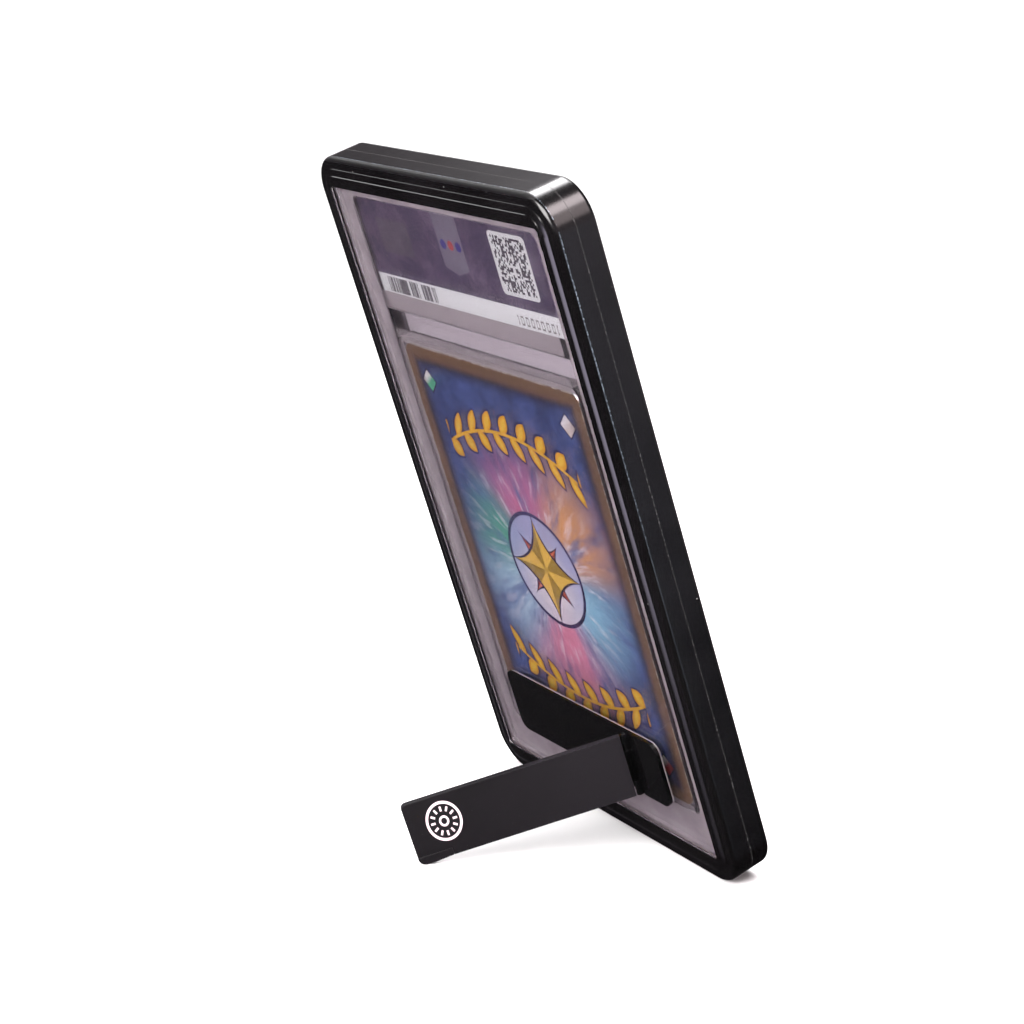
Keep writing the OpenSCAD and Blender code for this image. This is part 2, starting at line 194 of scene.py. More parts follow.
class Finish(Tree):
    """One material, built node by node."""

    def __init__(self, name, axes=None):
        self.material = bpy.data.materials.new(name)
        super().__init__(self.material)
        self.place = self.own_place(axes or case_axes())

    def own_place(self, axes):
        """Object coordinates in millimetres along the given axes."""
        spot = self.add("TexCoord", output="Object")
        sockets = {
            "Vector": spot,
            "Location": axes.to_translation(),
            "Rotation": axes.to_euler(),
            "Scale": (MM, MM, MM),
        }
        return self.add("Mapping", sockets, vector_type="TEXTURE")

    def axis(self, name, centre=0.0):
        split = self.add("SeparateXYZ", {0: self.place}, output=name)
        return split - centre if centre else split

    def noise(self, size, detail=3.0, roughness=0.5, stretch=(1, 1, 1)):
        """Noise from 0 to 1 whose grains are about size millimetres across."""
        spot = self.add("Mapping", {"Vector": self.place, "Scale": [s / size for s in stretch]})
        sockets = {"Vector": spot, "Scale": 1.0, "Detail": detail, "Roughness": roughness}
        return self.add("TexNoise", sockets)

    def specks(self, spacing, radius, soft):
        """Small round specks scattered about that far apart, in millimetres."""
        sockets = {"Vector": self.place, "Scale": 1.0 / spacing}
        return self.add("TexVoronoi", sockets).below(radius / spacing, soft / spacing)

    def rim_inset(self, half_w, half_h, radius, middle=(0.0, 0.0)):
        """Distance inward from a rounded outline about the middle, in millimetres."""
        x = abs(self.axis("X", middle[0])) - (half_w - radius)
        y = abs(self.axis("Y", middle[1])) - (half_h - radius)
        corner = distance(x.highest(0.0), y.highest(0.0))
        return radius - corner - x.highest(y).lowest(0.0)

    def bump(self, height, depth):
        return self.add("Bump", {"Height": height, "Distance": depth * MM})

    def shader(self, **sockets):
        """The main shader: base_color fills Base Color, ior fills IOR, and so on."""
        filled = {}
        for name, value in sockets.items():
            filled[name.replace("_", " ").title().replace("Ior", "IOR")] = value
        return self.add("BsdfPrincipled", filled)

    def surface(self, shader=None, **sockets):
        self.add("OutputMaterial", {"Surface": shader or self.shader(**sockets)})
        return self.material


def scaled(shade, factor):
    return [channel * factor for channel in shade]


# Finishes


def anodised_black(settings, shape):
    """Satin black frame: fine grain, faint streaks, dust, and painted highlights in patches along the seam
    and the back's outer edge.
    """
    finish = Finish("anodised_black")
    high = own_box("back_frame")[1]
    edge_z = high.z - shape.ring_rise - shape.edge_round
    y, height = finish.axis("Y"), abs(finish.axis("Z"))
    grain = finish.noise(0.09)
    haze = finish.noise(14.0)
    streaks = finish.noise(0.5, stretch=(1, 1, 0.04))
    dust = finish.specks(5.0, 0.13, 0.06)
    tone = finish.mix(settings.frame_colour, settings.frame_haze, haze.above(0.5, 0.5))

    # The seam round the side wall: a painted highlight in patches along it, mixed with the dust specks
    seam = height.below(0.12, 0.08)
    patchy = finish.noise(0.45).above(0.6, 0.14) * finish.noise(5.0, detail=2.0).above(0.45, 0.3)
    seam_highlight = seam * (0.3 + patchy)
    tone = finish.mix(tone, settings.dust_and_highlight_colour, (dust * 0.35).highest(seam_highlight * 0.09))

    # A painted bluish highlight in patches along the back's outer edge, toward the top
    outline = finish.rim_inset(high.x, high.y, shape.corner_radius)
    edge = abs(finish.axis("Z") - (edge_z + 0.05)).below(0.1, 0.08) * outline.below(0.12, 0.05)
    edge_highlight = edge * finish.noise(0.4, detail=2.0).above(0.56, 0.12) * y.above(20.0, 70.0)
    tone = finish.mix(tone, (0.5, 0.6, 0.72), edge_highlight * 0.2)

    # The round along the top is duller than the rest
    dull = height.above(edge_z, 0.1) * y.above(high.y - shape.edge_round, 0.1)
    return finish.surface(
        base_color=tone,
        roughness=0.16 + haze * 0.05 + streaks * 0.04 + grain * 0.02 + dull * 0.22,
        normal=finish.bump(grain + streaks * 0.5, 0.0003),
        specular_ior_level=0.55,
    )


def clear_plastic(finish, tint, ior):
    """Clear moulded plastic with faint smears and hairline scratches."""
    smear = finish.noise(9.0, detail=4.0, roughness=0.65, stretch=(1, 0.35, 1))
    hairs = finish.noise(0.25, detail=1.0, stretch=(1, 0.02, 1)).above(0.74, 0.04)
    return finish.shader(
        base_color=tint,
        roughness=0.01 + smear.above(0.62, 0.3) * 0.03 + hairs * 0.05,
        ior=ior,
        transmission_weight=1.0,
    )


def window_acrylic(settings):
    """Clear window with dust, and a few hairline scratches near its lower corner."""
    finish = Finish("window_acrylic")
    x, y = finish.axis("X"), finish.axis("Y")
    flaws = finish.specks(8.0, 0.12, 0.06)

    # Scratches: the middle, the angle in degrees and half the length of each
    for middle_x, middle_y, angle, reach in (
        (27.0, -34.0, 62, 7.0), (29.5, -38.5, 38, 5.0), (24.5, -40.0, 118, 5.5), (30.0, -30.5, 74, 4.0),
    ):
        out_x, out_y = x - middle_x, y - middle_y
        c, s = math.cos(math.radians(angle)), math.sin(math.radians(angle))
        along = abs(out_x * c + out_y * s).below(reach, reach * 0.6)
        across = abs(out_y * c - out_x * s + (along - 1) * 0.25).below(0.035, 0.04)
        flaws = flaws.highest(across * along * 0.3)

    clear = clear_plastic(finish, settings.window_tint, 1.49)
    dusty = finish.shader(base_color=settings.dust_and_highlight_colour, roughness=0.6)
    return finish.surface(finish.add("MixShader", {0: flaws * 0.8, 1: clear, 2: dusty}))


def slab_plastic(settings):
    """Clear slab with matt inside walls, a frosted margin round the card and the label, and painted
    highlight and shade in the frost.
    """
    finish = Finish("slab_styrene")
    low, high = own_box("slab_rear_shell")
    middle, half = (low + high) / 2, (high - low) / 2
    inset = finish.rim_inset(half.x, half.y, settings.slab_radius, middle)
    x, height = finish.axis("X"), abs(finish.axis("Z"))
    mist = finish.noise(6.0, detail=2.0)

    # The margin ends round one window that holds the card and the label
    boxes = [own_box(name) for name in ("trading_card", "slab_label")]
    (card_low, card_high), label_high = boxes[0], boxes[1][1]
    view = Vector((1.0, (card_low.y + label_high.y) / 2))
    clearing = finish.rim_inset(label_high.x, (label_high.y - card_low.y) / 2 + 0.3, 2.0, view)
    margin = clearing.below(0.0, 0.5) * (0.45 + inset.above(2.6, 0.6) * 0.25)

    # Inside walls: nearer the seam than the wells' floors, and outside the card's and the label's places
    walls = height.below(1.22, 0.04)
    for box_low, box_high in boxes:
        span, centre = (box_high - box_low) / 2, (box_high + box_low) / 2
        walls = walls * finish.rim_inset(span.x + 0.05, span.y + 0.05, 0.5, centre).below(0.0, 0.05)

    # A ledge just above the card
    ledge = abs(finish.axis("Y") - (card_high.y + 2.0)).below(1.3, 0.3)
    ledge = ledge * abs(x).below(card_high.x, 0.8) * abs(finish.axis("Z", 1.4)).below(1.1, 0.1)
    frost = (margin * (0.85 + mist * 0.3)).highest(walls * 0.85).highest(ledge * 0.4)

    # Pale on the matt walls and the ledge, with a painted highlight line along the outer rim and a faint
    # pale band further in; painted shade at the two sides, in a line inside the rim and on the right wall,
    # where the frame shades it
    pale = abs(inset - 0.9).below(0.3, 0.3) * 0.4 + abs(inset - 5.0).below(1.0, 0.8) * 0.08
    pale = (pale + walls * 0.85 + ledge * 0.6 + mist.above(0.5, 0.4) * 0.1).lowest(1.0)
    sides = abs(finish.axis("X", middle.x)).above(half.x - 4.0, 2.0)
    dark = (inset.below(2.4, 0.5) * sides * 0.8).highest(abs(inset - 3.0).below(0.4, 0.3) * 0.4)
    dark = dark.highest(walls * x.above(card_high.x - 0.5, 0.4))
    tone = finish.mix(settings.frost_colour, settings.frost_light, pale)
    tone = finish.mix(tone, (0.03, 0.028, 0.032), dark)
    clear = clear_plastic(finish, settings.slab_tint, 1.57)
    frosted = finish.shader(base_color=tone, roughness=0.5)
    return finish.surface(finish.add("MixShader", {0: frost, 1: clear, 2: frosted}))


def plain_plastic(name, shade, roughness, grain_size=0.3, depth=0.01):
    """A plain part: one colour, broken up by a fine grain."""
    finish = Finish(name)
    grain = finish.noise(grain_size)
    tone = finish.mix(shade, [channel * 1.35 + 0.002 for channel in shade], grain)
    return finish.surface(
        base_color=tone,
        roughness=roughness + grain * 0.1,
        normal=finish.bump(grain, depth),
    )


def plain_metal(name, shade, roughness):
    finish = Finish(name)
    lines = finish.noise(0.05, detail=2.0, stretch=(1, 0.04, 1))
    tone = finish.mix(shade, scaled(shade, 0.8), lines)
    return finish.surface(
        base_color=tone,
        metallic=1.0,
        roughness=roughness + lines * 0.12,
        normal=finish.bump(lines, 0.002),
    )


def leg_coating(settings):
    """Matte charcoal leg, painted lighter toward its hinge end, with a printed oval mark near its tip and a
    black hinge knuckle.
    """
    low = own_box("stand_leg", leg_axes())[0]
    finish = Finish("leg_charcoal", leg_axes())
    across, up = finish.axis("X"), finish.axis("Y")
    grain = finish.noise(0.16)
    cloud = finish.noise(11.0, detail=2.0)
    sparkle = finish.specks(1.3, 0.05, 0.03)
    clouded = (grain * 0.6 + cloud * 0.4).above(0.5, 0.6)
    tone = finish.mix(settings.leg_colour, scaled(settings.leg_colour, 1.5), clouded)
    # Painted light: the leg grows lighter toward its hinge end
    tone = finish.mix(tone, scaled(settings.leg_colour, 3.0), across.above(-16.0, 34.0) * 0.5)
    tone = finish.mix(tone, (0.16, 0.15, 0.16), sparkle * 0.25)
    knuckle = across.above(-0.86, 0.03)
    tone = finish.mix(tone, settings.plate_colour, knuckle)

    # The mark: an oval ring, short ticks inside it and a small open circle at its middle
    x = (across - (low.x + settings.mark_inset)) * settings.mark_slim
    y = up - settings.mark_rise
    radius = distance(x, y)
    turn = y.math("ARCTAN2", x)
    reach = settings.mark_size / 2
    ring = abs(radius - (reach - 0.3)).below(0.3, 0.08)
    tick = abs(turn.repeat(math.radians(30)) * radius).below(0.24, 0.08)
    ticks = tick * abs(radius - reach * 0.62).below(0.55, 0.08)
    centre = abs(radius - reach * 0.22).below(0.24, 0.08)
    mark = ring.highest(ticks).highest(centre) * finish.axis("Z").above(0.3, 0.05)
    tone = finish.mix(tone, settings.mark_colour, mark * (0.9 + grain * 0.1))
    rough = 0.42 + grain * 0.16 - knuckle * 0.25 - mark * 0.1
    return finish.surface(
        base_color=tone,
        roughness=rough,
        normal=finish.bump(grain, 0.012),
        specular_ior_level=0.25,
    )


def petals(x, y, tilt, length, width):
    """A pointed leaf about x = 0, y = 0: positive inside, in millimetres from its edge."""
    c, s = math.cos(tilt), math.sin(tilt)
    along = abs(x * c + y * s) / length
    aside = abs(y * c - x * s)
    return width * (1 - along * along) - aside


def patch(x, y, half_w, half_h, soft):
    """1 inside a rectangle about x = 0, y = 0, with soft edges."""
    return abs(x).below(half_w, soft) * abs(y).below(half_h, soft)


def card_print():
    """The card's back: a tan border, an indigo field, rays, a star and garlands; its front is plainer."""
    finish = Finish("card_print")
    mix, noise = finish.mix, finish.noise
    low, high = own_box("trading_card")
    x = finish.axis("X", (low.x + high.x) / 2)
    y = finish.axis("Y", (low.y + high.y) / 2)
    half_w, half_h = (high.x - low.x) / 2, (high.y - low.y) / 2
    side, upright = abs(x), abs(y)
    radius = distance(x, y).highest(0.1)

    # Field, darker toward its edges
    mottle = noise(7.0, detail=4.0, roughness=0.6)
    field = mix((0.03, 0.05, 0.15), (0.09, 0.14, 0.37), mottle.above(0.48, 0.5))
    glow = (radius + (mottle - 0.5) * 8).below(20.0, 30.0)
    field = mix(field, (0.22, 0.3, 0.58), glow * 0.7)

    # Rays round the star: the angle in degrees, the reach, the colour and the weight of each
    ray = finish.add("CombineXYZ", {"X": x / radius, "Y": y / radius, "Z": radius / 60})
    streak = finish.add("TexNoise", {"Vector": ray, "Scale": 3.2, "Detail": 3.0, "Roughness": 0.6})
    fine = finish.add("TexNoise", {"Vector": ray, "Scale": 11.0, "Detail": 2.0})
    for turn, reach, shade, weight in (
        (38, 30, (0.95, 0.45, 0.12), 0.9), (100, 26, (0.85, 0.2, 0.35), 0.75),
        (165, 24, (0.1, 0.55, 0.3), 0.8), (215, 27, (0.55, 0.8, 1.0), 0.9),
        (272, 31, (0.95, 0.3, 0.42), 0.85), (330, 25, (0.35, 0.75, 0.95), 0.85),
    ):
        c, s = math.cos(math.radians(turn)), math.sin(math.radians(turn))
        facing = (x * c + y * s) / radius
        beam = facing.above(0.86, 0.34) * (radius + streak * 12).below(reach + 4, 20.0)
        field = mix(field, shade, beam * weight * streak.above(0.42, 0.3))
    spark = fine.above(0.62, 0.2) * radius.below(22.0, 22.0)
    field = mix(field, (0.95, 0.93, 1.0), spark * 0.55)

    # Eight-point star on a pale disc with a dark ring; the pinch hollows the star's sides
    disc_radius, pinch = 12.4, 0.6
    pale = mix((0.88, 0.84, 0.9), (0.45, 0.5, 0.78), (radius + y * 0.6).above(7.0, 12.0))
    field = mix(field, pale, radius.below(disc_radius, 0.15) * 0.96)
    ring = abs(radius - (disc_radius - 0.1)).below(0.42, 0.12)
    field = mix(field, (0.03, 0.03, 0.12), ring)
    a, b = (x + y) * math.sqrt(0.5), (x - y) * math.sqrt(0.5)
    for u, v, reach, shade in ((a, b, 9.0, (0.8, 0.16, 0.1)), (x, y, 11.6, (0.93, 0.6, 0.1))):
        edge = abs(u).math("POWER", pinch) + abs(v).math("POWER", pinch)
        facet = (u * v * (abs(u) - abs(v))).above(0.0, 0.6)
        body = mix(shade, scaled(shade, 0.5), facet)
        field = mix(field, (0.02, 0.02, 0.09), edge.below(reach ** pinch + 0.3, 0.14))
        field = mix(field, body, edge.below(reach ** pinch, 0.14))

    # Leaf garlands above and below
    garland_rise, leaf_pitch = 29.5, 6.2
    s = x * y.math("SIGN")
    stem_height = upright - garland_rise + s * s / 95
    span = side.below(23.5, 0.1)
    for start, lift, tilt in ((0.0, 2.1, 0.95), (leaf_pitch / 2, -2.1, -0.95)):
        leaf = petals((s - start).repeat(leaf_pitch), stem_height - lift, tilt, 3.0, 1.45)
        amber = mix((0.86, 0.42, 0.02), (0.95, 0.62, 0.05), leaf.above(0.7, 0.5))
        field = mix(field, (0.02, 0.025, 0.12), leaf.above(-0.55, 0.15) * span)
        field = mix(field, amber, leaf.above(0.0, 0.12) * span)
    stem = abs(stem_height).below(0.35, 0.1) * side.below(22.5, 0.2)
    field = mix(field, (0.9, 0.5, 0.04), stem)

    # A lozenge in each corner
    gem_x, gem_y = 25.0, 36.5
    for column, row, shade in (
        (-1, 1, (0.1, 0.5, 0.3)), (1, 1, (0.75, 0.65, 0.6)),
        (-1, -1, (0.7, 0.68, 0.75)), (1, -1, (0.65, 0.12, 0.14)),
    ):
        out_x, out_y = x - column * gem_x, y - row * gem_y
        gem = abs(out_x) + abs(out_y)
        gloss = mix(shade, (0.92, 0.9, 0.92), (out_y - out_x * 0.7).above(0.4, 2.0))
        field = mix(field, (0.02, 0.02, 0.08), gem.below(2.9, 0.15))
        field = mix(field, gloss, gem.below(2.4, 0.15))

    # Blurred dark edge and tan border
    inset = (half_w - side).lowest(half_h - upright)
    frayed = inset + (noise(2.5) - 0.5) * 0.7
    field = mix(field, (0.02, 0.012, 0.02), frayed.below(4.4, 3.4) * 0.85)
    tan = mix((0.15, 0.085, 0.045), (0.26, 0.16, 0.09), noise(1.2, detail=4.0))
    field = mix(field, tan, frayed.below(2.9, 2.2))
    worn = inset.below(0.25, 0.15) * noise(0.5, detail=2.0).above(0.5, 0.2)
    field = mix(field, (0.8, 0.76, 0.7), worn * 0.7)

    # The front: a pale border, a cloudy picture and plain lines on a grey-green panel
    panel = mix((0.42, 0.56, 0.52), (0.6, 0.68, 0.62), mottle)
    clouds = mix((0.16, 0.36, 0.62), (0.85, 0.8, 0.7), (mottle * 30 - y).above(0.0, 16.0))
    line_y, line_pitch = y + 20.0, 5.0
    lines = side.below(24.0, 0.2) * abs(line_y.repeat(line_pitch)).below(0.5, 0.1)
    lines = lines * abs(line_y).below(13.0, 0.1)
    front = mix((0.75, 0.72, 0.68), panel, inset.above(2.8, 0.2))
    front = mix(front, clouds, patch(x, y - 16.0, 26.0, 17.0, 0.2))
    front = mix(front, (0.12, 0.13, 0.13), lines * 0.7)

    dots = noise(0.12, detail=1.0)
    printed = finish.axis("Z").above((low.z + high.z) / 2, 0.05)
    return finish.surface(
        base_color=mix(front, field, printed),
        roughness=0.36 + dots * 0.08,
        normal=finish.bump(dots, 0.002),
    )


def label_print(settings):
    """The slab's label: dark violet with a cloudy painted sheen, a pale strip of bars and a block of
    squares.
    """
    finish = Finish("label_print")
    mix, noise = finish.mix, finish.noise
    low = own_box("slab_label")[0]
    x, y = finish.axis("X"), finish.axis("Y", low.y)
    cloud = noise(9.0, detail=4.0, roughness=0.6)
    fibre = noise(0.5)
    ink = (0.05, 0.04, 0.06)
    # Painted sheen: paler clouds of reflected light over the label's colour
    ground = mix(settings.label_colour, settings.label_painted_sheen, cloud.above(0.56, 0.3))
    ground = mix(ground, (0.02, 0.015, 0.03), fibre.above(0.55, 0.3) * 0.35)

    def blocks(pitch, level, **place):
        """Cells of that pitch along X, or X and Y, each on or off by a fixed rule."""
        cell = {axis: (wire / pitch).math("FLOOR") for axis, wire in place.items()}
        spot = finish.add("CombineXYZ", cell)
        return finish.add("TexWhiteNoise", {"Vector": spot}).above(level, 0.01)

    # A faint striped panel, and a plain pale tab with three dots
    tab_x, dot_gap = 1.0, 2.7
    stripes = abs((x + y).repeat(0.9)).below(0.2, 0.15)
    panel = patch(x + 20.5, y - 12.6, 6.0, 3.6, 0.4)
    ground = mix(ground, (0.17, 0.165, 0.165), panel * (0.25 + stripes * 0.35))
    aside = abs(x - tab_x)
    tab = aside.below(4.4, 0.1) * (y - aside * 0.3).above(7.6, 0.1)
    ground = mix(ground, (0.25, 0.23, 0.3), tab * (0.7 + cloud * 0.3))
    for place, shade in ((-1, (0.05, 0.045, 0.3)), (0, (0.5, 0.07, 0.06)), (1, (0.05, 0.045, 0.3))):
        dot = distance(x - (tab_x + place * dot_gap), y - 13.6).below(1.0, 0.1)
        ground = mix(ground, shade, dot * 0.9)

    # The pale strip, with bars at its left and open boxes at its right
    ground = mix(ground, settings.strip_colour, y.below(settings.strip_height, 0.06))
    bars = blocks(0.34, 0.5, X=x).highest(blocks(0.17, 0.72, X=x))
    run = patch(x + 19.9, y - (settings.strip_height / 2 - 0.1), 9.3, 1.6, 0.05)
    ground = mix(ground, ink, bars * run * 0.9)
    row_x, box_pitch = x - 25.0, 1.7
    box = (abs(row_x.repeat(box_pitch)) / 0.5).highest(abs(y - 1.5) / 0.95)
    open_box = abs(box - 0.8).below(0.2, 0.06) * abs(row_x).below(6.7, 0.1)
    ground = mix(ground, (0.09, 0.06, 0.07), open_box * 0.8)

    # The block of squares, on a pale square with round corners
    code_x, code_y, code_half, code_round = x - 22.2, y - 12.4, 5.2, 1.0
    past_x, past_y = abs(code_x).highest(code_half) - code_half, abs(code_y).highest(code_half) - code_half
    edge = past_x * past_x + past_y * past_y
    ground = mix(ground, settings.strip_colour, edge.below(code_round, 0.12))
    inner = abs(code_x).highest(abs(code_y)).below(code_half + 0.2, 0.04)
    ground = mix(ground, ink, blocks(0.45, 0.5, X=code_x, Y=code_y) * inner)
    return finish.surface(
        base_color=ground,
        roughness=0.34 + fibre * 0.1,
        normal=finish.bump(fibre, 0.003),
    )


def dress(node, material):
    """Gives a CAD node its finish."""
    piece = frame["nodes"][node]
    piece.data.materials.clear()
    piece.data.materials.append(material)
    return piece


def soften_edges(node, width, segments=2):
    """Breaks a CAD node's sharp edges with a fine round, which catches the light."""
    piece = frame["nodes"][node]
    weld = piece.modifiers.new("join_triangles", "WELD")
    weld.merge_threshold = 0.002 * MM
    flat = piece.modifiers.new("merge_flats", "DECIMATE")
    flat.decimate_type = "DISSOLVE"
    flat.angle_limit = math.radians(0.5)
    edges = piece.modifiers.new("soft_edges", "BEVEL")
    edges.width = width * MM
    edges.segments = segments
    edges.limit_method = "ANGLE"
    edges.angle_limit = math.radians(24)
    edges.harden_normals = True
    return piece


# Settings


class CaseSettings(bpy.types.PropertyGroup):
    frame_colour: FloatVectorProperty(
        name="Frame", description="Colour of the anodised frame", subtype="COLOR",
        default=(0.0012, 0.0011, 0.0012),
    )
    frame_haze: FloatVectorProperty(
        name="Frame haze", description="Lighter tone that clouds the frame", subtype="COLOR",
        default=(0.003, 0.0027, 0.003),
    )
    # Colour of the dust specks, and of the painted highlight along the frame's seam
    dust_and_highlight_colour: FloatVectorProperty(
        name="Dust", description="Colour of the dust specks", subtype="COLOR",
        default=(0.5, 0.48, 0.48),
    )
    window_tint: FloatVectorProperty(
        name="Window tint", description="Tint of the clear windows", subtype="COLOR",
        default=(0.995, 0.985, 0.993),
    )
    slab_tint: FloatVectorProperty(
        name="Slab tint", description="Tint of the clear slab", subtype="COLOR",
        default=(0.99, 0.978, 0.99),
    )
    slab_radius: FloatProperty(
        name="Slab corner", description="Outer corner radius of the slab in mm", default=5.1, min=1.0,
    )
    tape_colour: FloatVectorProperty(
        name="Tape", description="Colour of the tape that bonds the windows", subtype="COLOR",
        default=(0.75, 0.58, 0.6),
    )
    frost_colour: FloatVectorProperty(
        name="Frost", description="Colour of the slab's frosted margin", subtype="COLOR",
        default=(0.19, 0.165, 0.185),
    )
    frost_light: FloatVectorProperty(
        name="Frost, light", description="Colour of the slab's matt inside walls", subtype="COLOR",
        default=(0.55, 0.5, 0.54),
    )
    leg_colour: FloatVectorProperty(
        name="Leg", description="Colour of the leg", subtype="COLOR",
        default=(0.0055, 0.0045, 0.0058),
    )
    plate_colour: FloatVectorProperty(
        name="Plate", description="Colour of the glossy plate", subtype="COLOR",
        default=(0.0008, 0.0008, 0.0009),
    )
    mark_colour: FloatVectorProperty(
        name="Mark", description="Colour of the oval mark on the leg", subtype="COLOR",
        default=(0.85, 0.66, 0.72),
    )
    mark_size: FloatProperty(
        name="Mark size", description="Height of the oval mark in mm", default=9.0, min=2.0, max=13.0,
    )
    mark_slim: FloatProperty(
        name="Mark slimness", description="Height of the oval mark over its width",
        default=1.28, min=1.0, max=2.0,
    )
    mark_inset: FloatProperty(
        name="Mark inset", description="From the leg's tip to the mark in mm", default=7.2, min=2.0,
    )
    mark_rise: FloatProperty(
        name="Mark rise", description="From the leg's middle line up to the mark in mm", default=1.0,
    )
    label_colour: FloatVectorProperty(
        name="Label", description="Colour of the slab's label", subtype="COLOR",
        default=(0.1, 0.078, 0.14),
    )
    # A painted sheen: paler clouds that stand for light reflected on the label
    label_painted_sheen: FloatVectorProperty(
        name="Label sheen", description="Paler tone that clouds the label", subtype="COLOR",
        default=(0.2, 0.155, 0.24),
    )
    strip_colour: FloatVectorProperty(
        name="Label strip", description="Colour of the label's pale strip", subtype="COLOR",
        default=(0.9, 0.95, 0.96),
    )
    strip_height: FloatProperty(
        name="Strip height", description="Height of the label's pale strip in mm", default=4.0, min=1.0,
    )


class FrameSettings(bpy.types.PropertyGroup):
    corner_radius: FloatProperty(
        name="Corner radius", description="Outer corner radius in mm", default=7.5, min=2.0,
    )
    wall: FloatProperty(name="Wall", description="Thickness of the side wall in mm", default=2.2, min=0.5)
    edge_round: FloatProperty(
        name="Edge round", description="Height of the outer round in mm", default=0.9, min=0.1,
    )
    shoulder_width: FloatProperty(
        name="Shoulder width", description="From the side to the bevel in mm", default=2.3, min=0.5,
    )
    bevel_width: FloatProperty(
        name="Bevel width", description="Width of the bevel in mm", default=1.36, min=0.2,
    )
    ring_rise: FloatProperty(
        name="Ring rise", description="Height of the ring above the shoulder in mm", default=0.6,
    )
    ring_thickness: FloatProperty(
        name="Ring thickness", description="Thickness of the raised ring in mm", default=1.0,
    )
    step: FloatProperty(name="Step", description="Height of the bevel's small steps in mm", default=0.16)
    rim_side: FloatProperty(
        name="Side rim", description="From the case's side to the window in mm", default=4.85,
    )
    rim_end: FloatProperty(
        name="End rim", description="From the case's top or bottom to the window in mm", default=5.85,
    )
    opening_radius: FloatProperty(
        name="Opening radius", description="Window's corner radius in mm", default=1.0,
    )
    soft_edge: FloatProperty(
        name="Soft edge", description="Radius of the ring's inner edge in mm", default=0.15, min=0.05,
    )
    seam: FloatProperty(name="Seam", description="Gap between the two halves in mm", default=0.02, min=0.0)
    magnet_span_long: FloatProperty(
        name="Long magnet span", description="Between the magnets of a long side in mm", default=80.0,
    )
    magnet_span_short: FloatProperty(
        name="Short magnet span", description="Between the magnets of a short side in mm", default=40.0,
    )


class StageSettings(bpy.types.PropertyGroup):
    lens: FloatProperty(
        name="Lens", description="Focal length of the camera in mm", default=80.3, min=20.0, max=300.0,
    )
    distance: FloatProperty(
        name="Distance", description="From the camera to its target", subtype="DISTANCE", unit="LENGTH",
        default=0.438, min=0.1,
    )
    azimuth: FloatProperty(
        name="Azimuth", description="Direction of the camera, where 0 looks along +Y", subtype="ANGLE",
        default=math.radians(238.44),
    )
    elevation: FloatProperty(
        name="Elevation", description="Height of the camera above the horizon", subtype="ANGLE",
        default=math.radians(14.46),
    )
    target: FloatVectorProperty(
        name="Target", description="Point that the camera looks at", subtype="TRANSLATION", unit="LENGTH",
        default=(0.0, 0.00406, 0.06829),
    )
    floor_colour: FloatVectorProperty(
        name="Floor", description="Colour of the floor", subtype="COLOR",
        default=(0.9, 0.9, 0.9),
    )


# Operators


def arc(radius, start, end, steps):
    """Sine and versine offsets along a round, from one angle to the other in degrees."""
    angles = [math.radians(start + (end - start) * step / steps) for step in range(steps + 1)]
    return [(radius * math.sin(angle), radius * (1 - math.cos(angle))) for angle in angles]


def select_only(piece, kind, chosen):
    """Selects just these vertices, edges or faces of the piece, in edit mode."""
    bpy.ops.object.mode_set(mode="OBJECT")
    mesh = piece.data
    elements = {"VERT": mesh.vertices, "EDGE": mesh.edges, "FACE": mesh.polygons}
    for name, items in elements.items():
        for item in items:
            item.select = name == kind and chosen(item)
    bpy.context.tool_settings.mesh_select_mode = [name == kind for name in elements]
    bpy.ops.object.mode_set(mode="EDIT")


def take(piece):
    """Selects just this object."""
    bpy.ops.object.select_all(action="DESELECT")
    bpy.context.view_layer.objects.active = piece
    piece.select_set(True)


def pick_face(piece, up):
    """Selects the widest face that points up or down."""
    bpy.ops.object.mode_set(mode="OBJECT")
    faces = [face for face in piece.data.polygons if face.normal.z * up > 0.99]
    widest = max(faces, key=lambda face: face.area).index
    select_only(piece, "FACE", lambda face: face.index == widest)


def pick_edges(piece, test):
    """Selects the edges whose two ends pass the test."""
    bpy.ops.object.mode_set(mode="OBJECT")
    places = [vertex.co.copy() for vertex in piece.data.vertices]
    select_only(piece, "EDGE", lambda edge: test(*(places[index] for index in edge.vertices)))


def follow(start, points, up):
    """Insets and lifts the selected face through the section's points: (inset, height)."""
    inset, height = start
    for next_inset, next_height in points:
        if next_inset - inset < 0.001:
            move = {"value": (0, 0, (next_height - height) * MM)}
            bpy.ops.mesh.extrude_region_move(TRANSFORM_OT_translate=move)
        else:
            step = {"thickness": (next_inset - inset) * MM, "depth": (next_height - height) * up * MM}
            bpy.ops.mesh.inset(use_even_offset=True, **step)
        inset, height = next_inset, next_height
    return inset, height


def spread_face(piece, out_x, out_y):
    """Moves the selected face's four corners outwards without turning or bending them."""
    bpy.ops.object.mode_set(mode="OBJECT")
    corners = {vertex.index for vertex in piece.data.vertices if vertex.select}
    for axis, out in ((0, out_x), (1, out_y)):
        for side in (-1, 1):
            select_only(piece, "VERT", lambda v: v.index in corners and v.co[axis] * side > 0)
            move = [0, 0, 0]
            move[axis] = side * out * MM
            bpy.ops.transform.translate(value=move)


def carve(piece, cutters):
    """Cuts the cutters out of the piece and removes them."""
    for cutter in cutters:
        step = piece.modifiers.new("pocket", "BOOLEAN")
        step.object = cutter
        step.solver = "EXACT"
        context = {"object": piece, "active_object": piece, "selected_objects": [piece]}
        with bpy.context.temp_override(**context):
            bpy.ops.object.modifier_apply(modifier=step.name)
        bpy.data.objects.remove(cutter)


